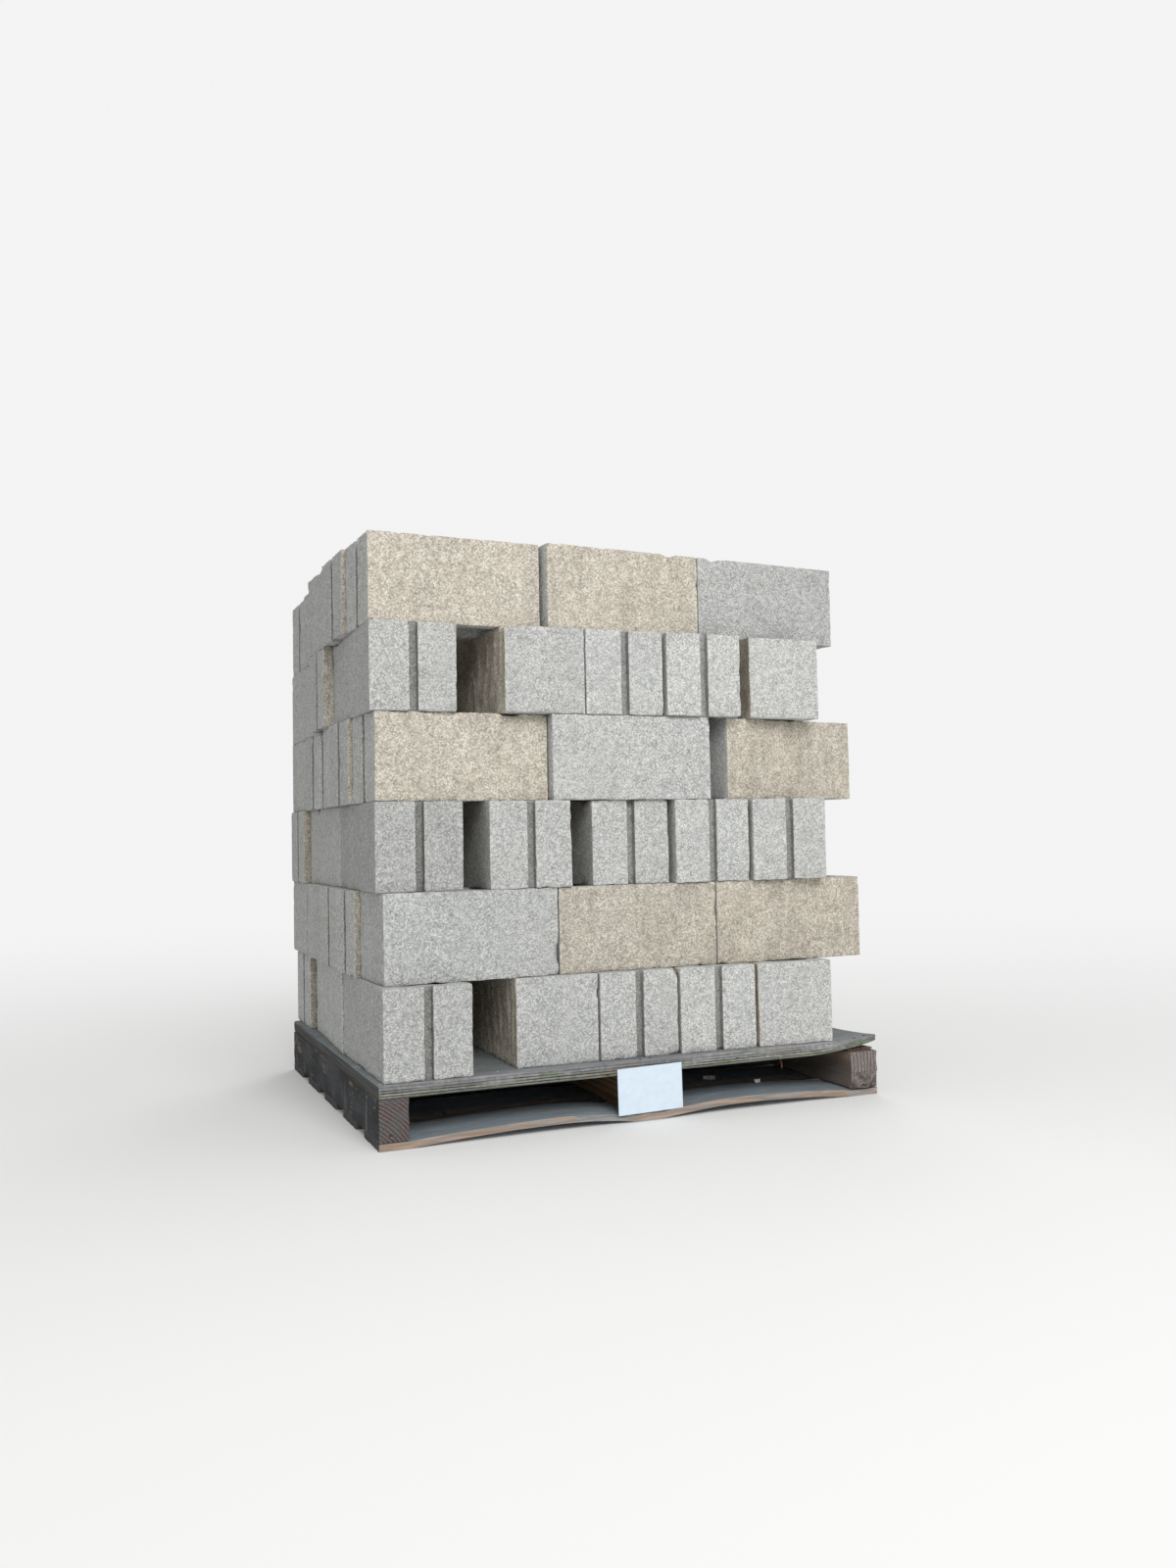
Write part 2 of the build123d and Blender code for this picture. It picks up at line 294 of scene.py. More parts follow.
def plywood(front):
    """Weathered plywood: the plies show at its edge, and its faces have the grain along x."""
    g = Graph("deck_plywood")
    x, y, _ = g.axes()
    grain = g.streaks((9.0, 170.0, 170.0), 4.0)
    broad = g.streaks((3.0, 12.0, 12.0))
    face = g.mix(g.between(grain, 0.3, 0.7), (0.17, 0.20, 0.215), (0.26, 0.285, 0.29))
    face = g.mix(g.between(broad, 0.35, 0.7), face, (0.17, 0.185, 0.18))
    grey_low, grey_high = (0.175, 0.175, 0.185), (0.32, 0.32, 0.33)
    front_strip = g.between(y, front + 0.02, front + 0.05, 0.85, 0.0)
    face = g.mix(front_strip, face, g.mix(g.between(grain, 0.3, 0.7), grey_low, grey_high))

    # The edge: its plies by turns, and the dark lines of glue between them
    height = g.attribute("ply")
    wander = g.math("MULTIPLY_ADD", g.streaks((4.0, 2.0, 9.0), 2.0), 0.5, -0.25)
    ply = g.math("MULTIPLY_ADD", height, float(PLIES), wander)
    off_middle = g.math("ABSOLUTE", g.math("SUBTRACT", g.math("FRACT", ply), 0.5))
    inner = g.between(g.math("ABSOLUTE", g.math("SUBTRACT", height, 0.5)), 0.38, 0.46, 1.0, 0.0)
    kept = g.between(g.streaks((6.0, 2.0, 70.0), 3.0, 0.6, (3, 1, 2)), 0.38, 0.50, 0.10, 1.0)
    lower = g.between(height, 0.50, 0.72, 1.0, 0.35)
    line = g.product(g.between(off_middle, 0.31, 0.42), kept, inner, lower)
    odd = g.between(g.math("FRACT", g.product(ply, 0.5)), 0.48, 0.54)
    fibre = g.streaks((7.0, 3.0, 420.0), 3.0, 0.65)
    edge = g.mix(odd, (0.15, 0.165, 0.14), (0.235, 0.24, 0.205))
    edge = g.mix(g.between(fibre, 0.42, 0.75), edge, (0.34, 0.345, 0.31))

    # The edge's weathering, browned parts, moss, painted light that makes it lighter towards the right,
    # rotten knots and paint
    faded = g.mix(g.between(fibre, 0.3, 0.7), grey_low, grey_high)
    weathered = g.math("MULTIPLY_ADD", g.streaks((4.0, 2.0, 30.0), 3.0), 0.7, height)
    edge = g.mix(g.between(weathered, 0.70, 1.0, 0.0, 0.9), edge, faded)
    edge = g.scaled(edge, g.between(g.noise(85.0, 3.0, 0.7), 0.3, 0.7, 0.72, 1.2))
    brown = g.between(g.streaks((6.0, 3.0, 40.0), 3.0, 0.6, (5, 2, 9)), 0.54, 0.68, 0.0, 0.5)
    edge = g.mix(brown, edge, (0.25, 0.19, 0.12))
    from_moss = g.math("ABSOLUTE", g.math("SUBTRACT", x, MOSS_X))
    moss = g.math("ADD", g.streaks((11.0, 5.0, 60.0)), g.between(from_moss, 0.01, 0.09, 0.14, 0.0))
    edge = g.mix(g.between(moss, 0.56, 0.70, 0.0, 0.65), edge, (0.13, 0.175, 0.075))
    # Painted light: the edge grows lighter towards the right.
    edge = g.scaled(edge, g.between(x, -0.1, 0.45, 1.0, 1.25))
    rotten = g.between(g.streaks((30.0, 5.0, 170.0), 2.0, 0.5, (8, 4, 1)), 0.68, 0.72)
    dark_parts = g.math("MAXIMUM", line, rotten)
    edge = g.mix(g.product(dark_parts, 0.9), edge, (0.020, 0.020, 0.017))
    paint = g.product(g.facing_left(), g.between(fibre, 0.3, 0.7, 0.92, 0.6))
    edge = g.mix(paint, edge, (0.045, 0.048, 0.048))
    level = g.facing("Z")
    colour = g.mix(level, edge, face)
    grooves = g.bump(g.product(grain, level), 0.0012)
    plies = g.bump(g.math("SUBTRACT", g.product(fibre, 0.5), dark_parts), 0.0018, grooves)
    return g.finish(colour, 0.86, plies)


def timber(name, fresh, weathered, pith, spacing, end_colours, paint=False, torn=0.0):
    """Sawn timber whose grain runs along y: its growth rings are round the pith, and its end is
    torn up to a height."""
    g = Graph(name)
    x, _, z = g.axes()
    across = g.math("SUBTRACT", x, pith[0])
    height = g.math("SUBTRACT", z, pith[1])
    squares = g.math("MULTIPLY_ADD", across, across, g.product(height, height))
    bend = g.streaks((16.0, 1.4, 16.0), 3.0, 0.5)
    rings = g.math("MULTIPLY_ADD", g.math("SQRT", squares), 1.0 / spacing, g.product(bend, 1.3))
    late = g.between(g.math("PINGPONG", rings, 0.5), 0.12, 0.42)
    fibre = g.streaks((420.0, 9.0, 420.0), 4.0, 0.7)
    shade = g.between(fibre, 0.25, 0.75, 0.72, 1.25)
    wood = g.scaled(g.mix(late, fresh, darker(fresh, 0.62)), shade)
    old = g.scaled(g.mix(late, weathered, darker(weathered, 0.72)), shade)
    wood = g.mix(g.between(g.streaks((10.0, 4.0, 14.0), 4.0), 0.36, 0.62), wood, old)

    dark, light, grey = end_colours
    grain_end = g.mix(late, light, dark)
    speckle = g.between(g.noise(300.0, 3.0, 0.75), 0.3, 0.7, 0.7, 1.3)
    dusty = g.between(g.noise(32.0, 4.0, 0.65), 0.38, 0.56)
    grain_end = g.mix(g.product(dusty, 0.85), grain_end, g.mix(late, grey, darker(grey, 0.7)))
    checks = g.between(g.noise(52.0, 3.0, 0.6), 0.64, 0.68)
    if torn:
        low = g.between(z, torn - 0.014, torn + 0.010, 1.0, 0.0)
        rough = g.mix(g.between(g.noise(55.0, 5.0, 0.7), 0.36, 0.62), darker(dark, 0.5), grey)
        grain_end = g.mix(low, grain_end, rough)
    grain_end = g.scaled(grain_end, speckle)
    grain_end = g.mix(checks, grain_end, (0.02, 0.017, 0.015))
    end = g.facing("Y")
    colour = g.mix(end, wood, grain_end)
    if paint:
        # The black paint, made darker in part as painted shade.
        clouds = g.between(g.streaks((9.0, 5.0, 12.0), 4.0), 0.35, 0.68)
        black = g.mix(clouds, (0.024, 0.025, 0.027), (0.068, 0.072, 0.077))
        runs = g.between(g.streaks((30.0, 34.0, 5.0), 3.0, 0.6, (2, 5, 3)), 0.60, 0.70)
        black = g.mix(g.product(runs, 0.6), black, (0.17, 0.175, 0.175))
        black = g.scaled(black, g.between(fibre, 0.3, 0.7, 0.8, 1.3))
        bare = g.between(g.streaks((20.0, 9.0, 26.0), 5.0, 0.65), 0.60, 0.66)
        painted = g.product(g.facing_left(), g.math("SUBTRACT", 1.0, bare))
        colour = g.mix(painted, colour, black)
    ridges = g.math("MULTIPLY_ADD", late, -1.2, fibre)
    return g.finish(colour, 0.84, g.bump(speckle, 0.0006, g.bump(ridges, 0.0011)))


def board_wood(name, fresh, weathered, above, end_colour):
    """A thin board with the grain along x, weathered above and fresher at its long edges."""
    g = Graph(name)
    fibre = g.streaks((7.0, 300.0, 380.0), 4.0, 0.7)
    figure = g.streaks((2.2, 40.0, 30.0), 3.0, 0.5)
    bands = g.between(g.math("PINGPONG", g.product(figure, 9.0), 0.5), 0.1, 0.4)
    shade = g.between(fibre, 0.25, 0.75, 0.78, 1.2)
    top = g.scaled(g.mix(bands, above, darker(above, 0.86)), shade)
    side = g.scaled(g.mix(bands, fresh, darker(fresh, 0.80)), shade)
    stain = g.between(g.streaks((5.0, 20.0, 70.0)), 0.44, 0.62)
    worn = g.math("MAXIMUM", g.product(stain, 0.75), g.attribute("worn"))
    side = g.mix(worn, side, g.scaled(g.mix(bands, weathered, darker(weathered, 0.8)), shade))
    knots = g.between(g.streaks((30.0, 30.0, 60.0), 2.0, 0.5, (4, 4, 4)), 0.69, 0.74)
    side = g.mix(g.product(knots, 0.85), side, (0.05, 0.035, 0.022))
    colour = g.mix(g.facing("Z", 0.5, 0.8), side, top)
    end = g.mix(g.facing_left(), end_colour, (0.07, 0.07, 0.068))
    colour = g.mix(g.facing("X"), colour, end)
    return g.finish(colour, 0.86, g.bump(g.math("ADD", fibre, bands), 0.0008))


def paper(name, colour):
    """Card or paper with a faint mottle."""
    g = Graph(name)
    tint = g.between(g.noise(60.0, 3.0), 0.3, 0.7, 0.97, 1.02)
    return g.finish(g.scaled(colour, tint), 0.7, g.bump(g.noise(900.0), 0.0001))


def rust(name):
    """Rusty steel, darker in patches."""
    g = Graph(name)
    patches = g.between(g.noise(240.0, 4.0, 0.7), 0.35, 0.65)
    colour = g.mix(patches, (0.20, 0.085, 0.035), (0.075, 0.04, 0.026))
    return g.finish(colour, 0.8, g.bump(g.noise(700.0, 3.0), 0.0004), 0.3)


def make_mesh(name, points, faces, materials, chosen=None, attributes=None, sharp=40.0):
    """An object of triangles and quads that rides on the pallet."""
    mesh = bpy.data.meshes.new(name)
    mesh.from_pydata([tuple(p) for p in points], [], [tuple(f) for f in faces])
    for material in materials:
        mesh.materials.append(material)
    if chosen is not None:
        mesh.polygons.foreach_set("material_index", np.asarray(chosen, np.int32))
    for key, values in (attributes or {}).items():
        layer = mesh.attributes.new(key, "FLOAT", "POINT")
        layer.data.foreach_set("value", np.asarray(values, np.float32))
    mesh.polygons.foreach_set("use_smooth", np.ones(len(mesh.polygons), bool))
    mesh.set_sharp_from_angle(angle=math.radians(sharp))
    mesh.update()
    piece = bpy.data.objects.new(name, mesh)
    bpy.context.scene.collection.objects.link(piece)
    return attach(piece, "root")


def add_part(points, faces, more, sides):
    """Adds a part's points and faces to lists that hold other parts."""
    first = len(points)
    points.extend(more)
    faces.extend([first + i for i in side] for side in sides)


def surface_tree(names):
    """A tree of the faces of some nodes."""
    points, faces = [], []
    for name in names:
        mesh = nodes[name].data
        add_part(points, faces, [v.co.copy() for v in mesh.vertices],
                 [list(p.vertices) for p in mesh.polygons])
    return BVHTree.FromPolygons(points, faces)


# Blocks: one mesh for a course, its blocks where the course's own solids are
def along(start, end, step):
    """Evenly spaced points from start to end, cut back a little at both corners."""
    start = np.array(start)
    end = np.array(end)
    run = end - start
    length = np.hypot(*run)
    run = run / length
    count = max(1, round((length - 2 * EDGE) / step))
    shares = np.linspace(EDGE, length - EDGE, count + 1)
    inward = np.array((-run[1], run[0]))
    return [(start + share * run, inward) for share in shares]


def outline(split_step, wall_step):
    """The block's outline, counterclockwise from the split face's left corner."""
    x, y, groove = LENGTH / 2, WIDTH / 2, GROOVE_WIDTH / 2
    corners = [(-x, -y), (x, -y), (x, y), (-x, y), (-x, groove), (-x + GROOVE_DEPTH, groove),
               (-x + GROOVE_DEPTH, -groove), (-x, -groove)]
    count = len(corners)
    sides = [along(corners[i], corners[(i + 1) % count], wall_step if i else split_step)
             for i in range(count)]
    spots = []
    for number, side in enumerate(sides):
        before = sides[number - 1]
        after = sides[(number + 1) % count]
        for order, (place, inward) in enumerate(side):
            first, last = order == 0, order == len(side) - 1
            chip = inward + (before[0][1] if first else after[0][1]) if first or last else inward
            beside = (number == 1 and first) or (number == count - 1 and last)
            in_groove = number in (4, 5, 6)
            # Painted shade: the groove's points are darker than the rest of the block.
            tone = GROOVE_PAINTED_SHADE if in_groove else 1.05 if first or last else 1.0
            spots.append(Spot(place, inward, number == 0, number == 0 or beside, chip, tone))
    return spots


def core(middle, steps=5):
    """A core's outline, counterclockwise, with its end web bulged round the groove."""
    half_x = (LENGTH - 2 * END_WEB - MIDDLE_WEB) / 4
    half_y = WIDTH / 2 - FACE_SHELL
    places = []
    for quarter, (sx, sy) in enumerate(((1, -1), (1, 1), (-1, 1), (-1, -1))):
        centre = np.array((middle + sx * (half_x - CORE_CORNER), sy * (half_y - CORE_CORNER)))
        for step in range(steps + 1):
            angle = math.radians(90 * (quarter - 1 + step / steps))
            places.append(centre + CORE_CORNER * np.array((math.cos(angle), math.sin(angle))))
        if quarter == 2 and middle < 0:
            web = GROOVE_DEPTH + GROOVE_WALL
            for y in np.linspace(half_y - CORE_CORNER, CORE_CORNER - half_y, 9)[1:-1]:
                bulge = -LENGTH / 2 + math.sqrt(max(web * web - y * y, 0.0))
                places.append(np.array((max(middle - half_x, bulge), y)))
    spots = []
    for number, place in enumerate(places):
        run = places[(number + 1) % len(places)] - places[number - 1]
        away = np.array((run[1], -run[0])) / np.hypot(*run)
        spots.append(Spot(place, away, False, False, away, 1.0))
    return spots


def within(point, loop):
    """Whether a point lies inside a closed outline."""
    inside = False
    for number, (x0, y0) in enumerate(loop):
        x1, y1 = loop[number - 1]
        if (y0 > point[1]) != (y1 > point[1]):
            if point[0] < x0 + (x1 - x0) * (point[1] - y0) / (y1 - y0):
                inside = not inside
    return inside


def fill(loops):
    """Triangles between an outline and its holes, by the numbers of their points in order."""
    points = []
    edges = []
    for loop in loops:
        first = len(points)
        points += [Vector(p) for p in loop]
        edges += [(first + i, first + (i + 1) % len(loop)) for i in range(len(loop))]
    made, _, faces, origins, _, _ = geometry.delaunay_2d_cdt(points, edges, [], 0, 1e-7)
    kept = []
    for face in faces:
        middle = sum((made[i] for i in face), Vector((0, 0))) / len(face)
        if within(middle, loops[0]) and not any(within(middle, hole) for hole in loops[1:]):
            kept.append([origins[i][0] for i in face])
    return kept


class Mould:
    """A block's mesh before its faces are roughened, on its own axes from the middle of its bed."""

    def __init__(self, split_step, wall_step, rise_step):
        self.points, self.inward, self.chip, self.tone = [], [], [], []
        self.split, self.broken, self.rim = [], [], []
        self.faces, self.kinds = [], []
        tall = max(2, round(HEIGHT / rise_step))
        rising = [0.0, *np.linspace(EDGE, HEIGHT - EDGE, tall), HEIGHT]
        outer = self.wall(outline(split_step, wall_step), rising, outside=True)
        middle = (LENGTH - 2 * END_WEB - MIDDLE_WEB) / 4 + MIDDLE_WEB / 2
        short = [0.0, EDGE, HEIGHT - EDGE, HEIGHT]
        holes = [self.wall(core(side * middle), short, outside=False) for side in (-1, 1)]
        for top in (False, True):
            rings = [ring[-1 if top else 0] for ring in (outer, *holes)]
            numbers = [number for ring in rings for number in ring]
            triangles = fill([[tuple(self.points[n][:2]) for n in ring] for ring in rings])
            for triangle in triangles:
                face = [numbers[i] for i in triangle]
                self.faces.append(face if top else face[::-1])
                self.kinds.append(0)
        self.points = np.array(self.points)
        self.inward = np.array(self.inward)
        self.chip = np.array(self.chip)
        self.tone = np.array(self.tone)

    def wall(self, loop, rising, outside):
        """Adds the wall over a loop of spots and gives the point numbers of each level."""
        levels = []
        for z in rising:
            level = []
            at_bed = z < 2 * EDGE or z > HEIGHT - 2 * EDGE
            for spot in loop:
                end = z in (0.0, HEIGHT)
                place = spot.place + EDGE * spot.inward if end else spot.place
                level.append(len(self.points))
                self.points.append((*place, z))
                self.inward.append((*spot.inward, 0.0) if outside else (0.0, 0.0, 0.0))
                self.chip.append((*spot.chip, 0.0))
                self.tone.append(spot.tone)
                self.split.append(outside and spot.split)
                self.broken.append(outside and spot.broken)
                cornered = spot.chip is not spot.inward
                self.rim.append(outside and (at_bed or cornered))
            levels.append(level)
        count = len(loop)
        for low, high in zip(levels, levels[1:]):
            for i in range(count):
                j = (i + 1) % count
                face = (low[i], low[j], high[j], high[i])
                self.faces.append(face if outside else face[::-1])
                self.kinds.append(1 if loop[i].broken and loop[j].broken else 0)
        return levels


def split_depth(x, z, seed, strength):
    """How far in the split face lies at a point, and how hollow it is there."""
    p = Vector((x, seed, z))
    broad = noise.noise(p * 9.0)
    ribs = abs(noise.noise(Vector((x * 30.0, seed, z * 8.0))))
    lumps = noise.noise(p * 48.0)
    fine = noise.noise(p * 105.0)
    relief = RIBS * (ribs - 0.2) + LUMPS * lumps + GRAIN * fine
    border = min(x + LENGTH / 2, LENGTH / 2 - x, z, HEIGHT - z)
    kept = 0.35 + 0.65 * min(1.0, border / 0.03)
    depth = strength * kept * (SPLIT_DEPTH + WAVES * broad + relief)
    depth += RIM * math.exp(-border / 0.004) * (1.0 + noise.noise(p * 45.0))
    return max(depth, 0.0), relief / 0.002


def roughened(mould, seed, strength):
    """The mould's points with the split face broken, the edges chipped and the walls uneven."""
    points = mould.points.copy()
    hollow = np.zeros(len(points))
    for number, (x, y, z) in enumerate(mould.points):
        p = Vector((x, y + seed, z))
        if mould.broken[number]:
            depth, cavity = split_depth(x, z, seed, strength)
            points[number][1] += depth
            if mould.split[number]:
                hollow[number] = cavity
        elif mould.inward[number].any():
            points[number] += mould.inward[number] * WALL_WAVES * (1.0 + noise.noise(p * 30.0))
        if mould.rim[number]:
            near_bed = min(z, HEIGHT - z) < 2 * EDGE
            small = max(0.0, noise.noise(p * 42.0) - 0.28) * SMALL_CHIPS
            small += CRUMBLING * max(0.0, noise.noise(p * 95.0) + 0.1) if near_bed else 0.0
            large = max(0.0, noise.noise(p * 13.0 + Vector((3, 8, 1))) - 0.56) * LARGE_CHIPS
            chip = small + large
            points[number] += mould.chip[number] * chip
            if near_bed:
                points[number][2] += chip if z < HEIGHT / 2 else -chip
    return points, hollow


def laid_blocks(node):
    """Each block of a course: its axes as a matrix, from its solid's own corners."""
    mesh = nodes[node].data
    places = np.array([v.co for v in mesh.vertices])
    keys = {}
    merged = [keys.setdefault(tuple(np.round(p, 5)), len(keys)) for p in places]
    parent = list(range(len(keys)))

    def root(i):
        while parent[i] != i:
            parent[i] = parent[parent[i]]
            i = parent[i]
        return i

    for edge in mesh.edges:
        a, b = (root(merged[i]) for i in edge.vertices)
        parent[a] = b
    corners = np.array(list(keys))
    groups = {}
    for number in range(len(corners)):
        groups.setdefault(root(number), []).append(number)
    blocks = []
    for numbers in groups.values():
        spots = corners[numbers]
        flat = spots[:, :2]
        centred = flat - (flat.max(0) + flat.min(0)) / 2
        _, axes = np.linalg.eigh(np.cov(centred.T))
        x_axis = axes[:, 1]
        ahead = flat @ x_axis
        aside = flat @ np.array((-x_axis[1], x_axis[0]))
        middle = (ahead.max() + ahead.min()) / 2
        side = (aside.max() + aside.min()) / 2
        narrow = np.abs(aside - side) < GROOVE_WIDTH
        near_end = np.abs(ahead - middle) > LENGTH / 2 - 1.5 * GROOVE_DEPTH
        groove = np.sign((ahead - middle)[narrow & near_end].mean())
        centre = middle * x_axis + side * np.array((-x_axis[1], x_axis[0]))
        x_axis = -groove * x_axis
        matrix = Matrix.Identity(4)
        matrix.col[0] = (x_axis[0], x_axis[1], 0, 0)
        matrix.col[1] = (-x_axis[1], x_axis[0], 0, 0)
        matrix.col[3] = (centre[0], centre[1], spots[:, 2].min(), 1)
        blocks.append(matrix)
    blocks.sort(key=lambda m: m.translation.y)
    return blocks


def open_side(matrix, load, outward, reach=0.03):
    """Whether one upright side of a block has open space in front of it."""
    half = Vector((LENGTH / 2, WIDTH / 2, 0))
    sideways = Vector((-outward.y, outward.x, 0))
    for share in (-0.9, -0.4, 0.4, 0.9):
        spot = Vector((half.x * (outward.x * 1.01 + share * sideways.x),
                       half.y * (outward.y * 1.01 + share * sideways.y), HEIGHT / 2))
        direction = (matrix.to_3x3() @ outward).normalized()
        if load.ray_cast(matrix @ spot, direction, reach)[0] is None:
            return True
    return False


def fineness(matrix, load):
    """The mould that a block needs, by which of its sides show."""
    if open_side(matrix, load, Vector((0, -1, 0))):
        return "split"
    others = (Vector((0, 1, 0)), Vector((1, 0, 0)), Vector((-1, 0, 0)))
    return "cast" if any(open_side(matrix, load, side) for side in others) else "hidden"


def knock_corner(points, tones):
    """Flattens what stands out past a slanted plane at a block's corner, roughly, and pales it."""
    for number, point in enumerate(points):
        p = Vector(point)
        away = p - CHIPPED_CORNER
        if away.length < 4 * CHIPPED_DEPTH and p.x < CHIPPED_CORNER.x + 0.002:
            proud = away.dot(CHIPPED_WAY) + CHIPPED_DEPTH * (1.0 + 0.35 * noise.noise(p * 120.0))
            if proud > 0:
                points[number] = list(p - proud * CHIPPED_WAY)
                tones[number] *= CHIPPED_TONE


def lay_course(node, moulds, load, materials, rng):
    """The course's blocks as one piece in place of its plain solids."""
    points, faces, kinds = [], [], []
    tones, hues, hollows = [], [], []
    blocks = laid_blocks(node)
    seen = FRONT_LOOKS[node]
    front = sorted(blocks[:len(seen)], key=lambda m: m.translation.x)
    laid = [*zip(front, seen), *((m, None) for m in blocks[len(seen):])]
    for number, (matrix, look) in enumerate(laid):
        mould = moulds[fineness(matrix, load)]
        tone, hue = rng.uniform(0.94, 1.04), rng.random()
        # A front block's tone is partly its own and partly painted light.
        if look:
            tone, hue = look
        strength = STRETCHER_RELIEF if abs(matrix[1][1]) > 0.7 else HEADER_RELIEF
        own, hollow = roughened(mould, rng.uniform(0, 90), rng.uniform(0.9, 1.1) * strength)
        turned = own @ np.array(matrix.to_3x3().transposed()) + np.array(matrix.translation)
        add_part(points, faces, turned.tolist(), mould.faces)
        kinds += mould.kinds
        # Painted light and shade on the split faces: lighter in two slots, darker in a third and behind
        # the front row.
        beside = SPLIT_PAINTED_LIGHT_AND_SHADE.get((node, number), 1.0 if look else REAR_SPLIT_PAINTED_SHADE)
        tones += (tone * mould.tone * np.where(mould.split, beside, 1.0)).tolist()
        # The groove's points, found by their painted shade, are also made warmer.
        hues += np.where(mould.tone < 0.9, 1.5, hue).tolist()
        hollows += hollow.tolist()
    if node == "course_1":
        knock_corner(points, tones)
    attributes = {"tone": tones, "hue": hues, "hollow": hollows}
    piece = make_mesh(f"{node}_blocks", points, faces, materials, kinds, attributes)
    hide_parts(node)


# Timber: a box of small faces, each point then moved inwards
def box_grid(low, high, counts):
    """The surface of a box as a welded grid: its points, their shares along each side, its faces."""
    numbers, shares, faces = {}, [], []

    def number(i, j, k):
        if (i, j, k) not in numbers:
            numbers[(i, j, k)] = len(shares)
            shares.append((i / counts[0], j / counts[1], k / counts[2]))
        return numbers[(i, j, k)]

    for axis in range(3):
        first, second = (axis + 1) % 3, (axis + 2) % 3
        for side in (0, counts[axis]):
            for a in range(counts[first]):
                for b in range(counts[second]):
                    ring = []
                    for da, db in ((0, 0), (1, 0), (1, 1), (0, 1)):
                        spot = [0, 0, 0]
                        spot[axis], spot[first], spot[second] = side, a + da, b + db
                        ring.append(number(*spot))
                    faces.append(ring if side else ring[::-1])
    shares = np.array(shares)
    low, high = np.array(low), np.array(high)
    return low + shares * (high - low), shares, faces


def worn_box(low, high, counts, grain, wear, seed, torn=0.0):
    """A sawn timber: uneven along its grain, its edges rubbed and its ends a little broken, more so
    below the share of its height that is torn."""
    points, shares, faces = box_grid(low, high, counts)
    size = np.array(high) - np.array(low)
    for number, share in enumerate(shares):
        p = Vector(points[number]) + Vector((seed, 0, 0))
        stretched = Vector((p[axis] * (6.0 if axis == grain else 55.0) for axis in range(3)))
        uneven = 0.5 + 0.5 * noise.noise(stretched)
        at_face = [min(s, 1 - s) < 1e-6 for s in share]
        edges = sum(at_face) > 1
        for axis in range(3):
            if at_face[axis]:
                inward = 1.0 if share[axis] < 0.5 else -1.0
                depth = wear * uneven * (1.8 if edges else 0.6)
                if axis == grain:
                    depth += wear * max(0.0, noise.noise(p * 70.0)) * 2.0
                    if share[2] < torn:
                        depth += 0.006 * max(0.0, noise.noise(p * 38.0) + 0.15)
                points[number][axis] += inward * min(depth, size[axis] / 8)
    return points, shares, faces


def lay_stringer(node, counts, wear, material, seed, torn=0.0):
    """A stringer as one sawn timber."""
    low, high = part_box(node)
    points, _, faces = worn_box(low, high, counts, 1, wear, seed, torn)
    piece = make_mesh(f"{node}_timber", points, faces, [material])
    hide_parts(node)


def height_at(tree, x, y, downwards=True):
    """Where a node's upper or lower surface is above a point of the floor."""
    start = Vector((x, y, 1.0 if downwards else -1.0))
    hit = tree.ray_cast(start, Vector((0, 0, -1.0 if downwards else 1.0)))
    return hit[0].z if hit[0] else None


def torn_away(point, share):
    """How much of a sliver is torn from a board's upper front edge at a point."""
    total = 0.0
    for start, end, depth in SLIVERS:
        if start < point[0] < end and share[1] < 0.2:
            along_span = (point[0] - start) / (end - start)
            taper = min(1.0, 6 * along_span) * min(1.0, 3 * (1 - along_span))
            ragged = 1.0 + 0.5 * noise.noise(Vector((point[0] * 60, 0, share[2] * 3)))
            total += depth * taper * ragged
    return total


def lay_board(node, material, seed):
    """A bottom board: bowed as its node is, with worn long edges."""
    low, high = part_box(node)
    tree = surface_tree([node])
    middle = (low.y + high.y) / 2
    inset = 0.0005
    thickness = height_at(tree, low.x + inset, middle)
    flat_high = (high.x, high.y, thickness)
    points, shares, faces = worn_box((low.x, low.y, 0.0), flat_high, (150, 14, 4), 0, 0.0007, seed)
    worn = np.zeros(len(points))
    for number, (point, share) in enumerate(zip(points, shares)):
        if node == BOARDS[0]:
            torn = torn_away(point, share)
            worn[number] = min(1.0, 160 * torn)
            if share[1] < 1e-6:
                point[1] += torn * share[2]
            point[2] -= 0.45 * torn * share[2] * (1 - share[1] / 0.2)
        x = min(max(point[0], low.x + inset), high.x - inset)
        point[2] += height_at(tree, x, middle) - thickness
    piece = make_mesh(f"{node}_board", points, faces, [material], attributes={"worn": worn})
    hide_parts(node)


def lay_deck(material):
    """The plywood deck: its edge in worn plies, its surface between the node's two."""
    low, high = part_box("deck")
    tree = surface_tree(["deck"])
    stringer_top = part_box("stringer_right")[1].z
    counts = (160, 90, 2 * PLIES)
    points, shares, faces = box_grid((low.x, low.y, 0.0), (high.x, high.y, 1.0), counts)
    inset = 0.0006
    for number, share in enumerate(shares):
        x = min(max(points[number][0], low.x + inset), high.x - inset)
        y = min(max(points[number][1], low.y + inset), high.y - inset)
        upper = height_at(tree, x, y)
        lower = height_at(tree, x, y, False)
        curl = max(0.0, (x - CURL_START) / (high.x - CURL_START))
        lower = max(lower - SWELLING * curl, min(lower, stringer_top + 0.0004))
        points[number][2] = lower + share[2] * (upper - lower)
        layer = round(share[2] * 2 * PLIES)
        at_glue = layer % 2 == 0
        rounding = DECK_ROUNDING if layer in (0, 2 * PLIES) else 0.0
        for axis in (0, 1):
            if min(share[axis], 1 - share[axis]) < 1e-6:
                p = Vector((x * 5, y * 5, 0.3 * layer))
                chip = noise.noise(Vector((x * 24, y * 24, 1.1 * layer))) - 0.36
                depth = 0.0009 * (1.0 + noise.noise(p)) + DECK_CHIPS * max(0.0, chip)
                depth += GLUE_GROOVE if at_glue else 0.0
                depth += rounding * (1.0 + 0.6 * noise.noise(p * 2.0))
                points[number][axis] += depth if share[axis] < 0.5 else -depth
    piece = make_mesh("deck_sheet", points, faces, [material], attributes={"ply": shares[:, 2]})
    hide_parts("deck")


